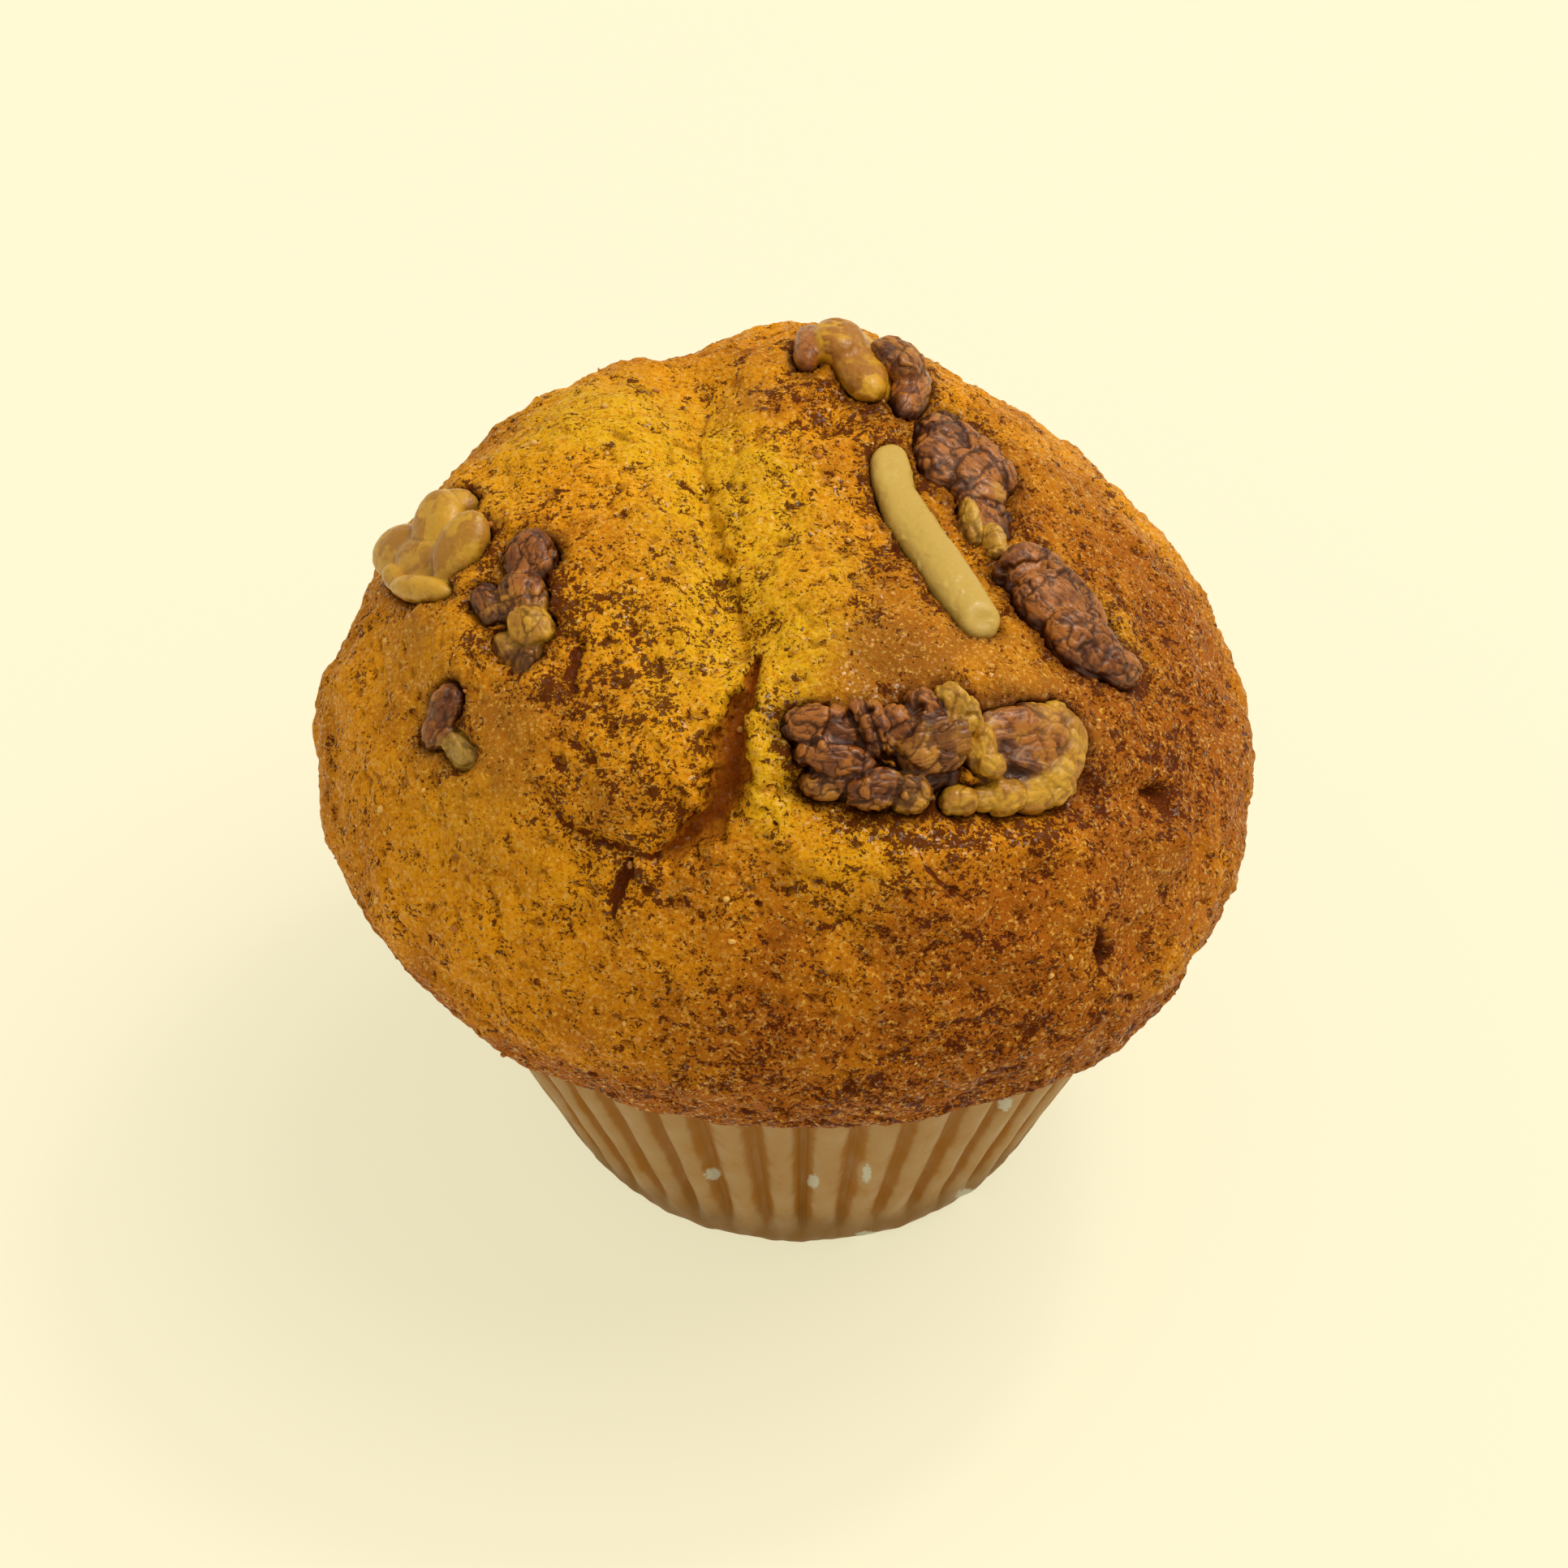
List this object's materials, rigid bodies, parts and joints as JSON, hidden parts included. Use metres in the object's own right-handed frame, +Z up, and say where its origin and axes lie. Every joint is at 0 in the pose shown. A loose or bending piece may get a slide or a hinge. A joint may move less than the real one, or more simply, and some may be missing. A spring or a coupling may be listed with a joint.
{
  "type": "walnut muffin",
  "caption": "Golden baked muffin with a cracked domed cap and walnut pieces, standing in a pleated paper case",
  "frame": {"origin": "centre of the paper case's flat base, on the floor", "axes": "+Z up, the side seen in the picture faces -Y"},
  "size_m": [0.0903, 0.0936, 0.0808],
  "materials": {
    "crust": "matt baked crust",
    "case_paper": "greasy satin paper",
    "nut_flesh": "satin nut flesh",
    "nut_skin": "glossy nut skin"
  },
  "bodies": {
    "root": {"muffin_cap_and_crumb": "crust", "pleated_paper_case": "case_paper", "walnut_cream_sliver": "nut_flesh", "walnut_dark_half": "nut_skin", "walnut_pale_half": "nut_flesh", "walnut_long_piece": "nut_skin", "walnut_top_pale": "nut_flesh", "walnut_top_brown": "nut_skin", "walnut_edge_blossom": "nut_flesh", "walnut_left_piece": "nut_skin", "walnut_small_piece": "nut_skin"}
  },
  "joints": []
}
